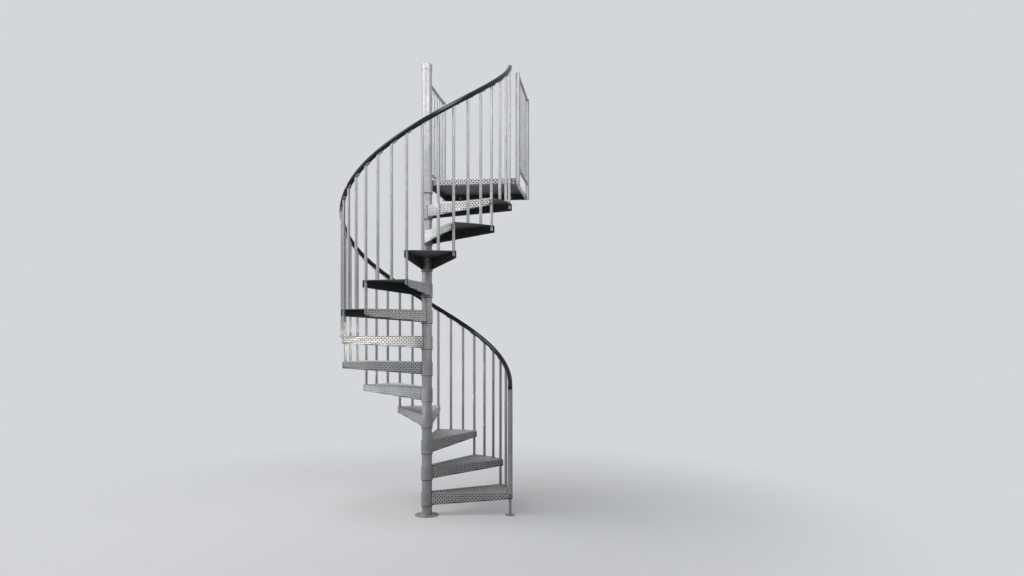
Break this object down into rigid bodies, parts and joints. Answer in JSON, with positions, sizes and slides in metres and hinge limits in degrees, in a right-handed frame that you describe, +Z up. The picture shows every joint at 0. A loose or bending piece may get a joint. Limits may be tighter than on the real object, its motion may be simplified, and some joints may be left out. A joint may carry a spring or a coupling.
{
  "type": "spiral staircase",
  "caption": "Galvanised steel spiral staircase: wedge treads around a centre pole, tube balusters, helical vinyl handrail and a square landing with two guards.",
  "frame": {"origin": "centre of the base flange's underside, on the column's axis", "axes": "+Z up the column; +X along the wall that the landing meets, from the column to the landing's outer side; +Y towards that wall"},
  "size_m": [1.5684, 1.594, 3.9422],
  "materials": {
    "galvanised_plate": "hot-dip galvanised checker plate, matte mottled grey",
    "galvanised_tube": "hot-dip galvanised tube, matte mottled grey",
    "rail_vinyl": "glossy black vinyl tube"
  },
  "bodies": {
    "root": {"base_flange": "galvanised_tube", "centre_pole": "galvanised_tube", "pole_cap": "galvanised_tube", "tread_01": "galvanised_plate", "tread_02": "galvanised_plate", "tread_03": "galvanised_plate", "tread_04": "galvanised_plate", "tread_05": "galvanised_plate", "tread_06": "galvanised_plate", "tread_07": "galvanised_plate", "tread_08": "galvanised_plate", "tread_09": "galvanised_plate", "tread_10": "galvanised_plate", "tread_11": "galvanised_plate", "tread_12": "galvanised_plate", "landing_platform": "galvanised_plate", "balusters_01": "galvanised_tube", "balusters_02": "galvanised_tube", "balusters_03": "galvanised_tube", "balusters_04": "galvanised_tube", "balusters_05": "galvanised_tube", "balusters_06": "galvanised_tube", "balusters_07": "galvanised_tube", "balusters_08": "galvanised_tube", "balusters_09": "galvanised_tube", "balusters_10": "galvanised_tube", "balusters_11": "galvanised_tube", "balusters_12": "galvanised_tube", "newel_post": "galvanised_tube", "foot_post": "galvanised_tube", "guard_right_front_post": "galvanised_tube", "guard_left_rear_post": "galvanised_tube", "guard_left_top_rail": "galvanised_tube", "guard_left_bottom_rail": "galvanised_tube", "guard_left_balusters": "galvanised_tube", "guard_right_rear_post": "galvanised_tube", "guard_right_top_rail": "galvanised_tube", "guard_right_bottom_rail": "galvanised_tube", "guard_right_balusters": "galvanised_tube", "handrail": "rail_vinyl", "handrail_end_caps": "rail_vinyl"}
  },
  "joints": []
}
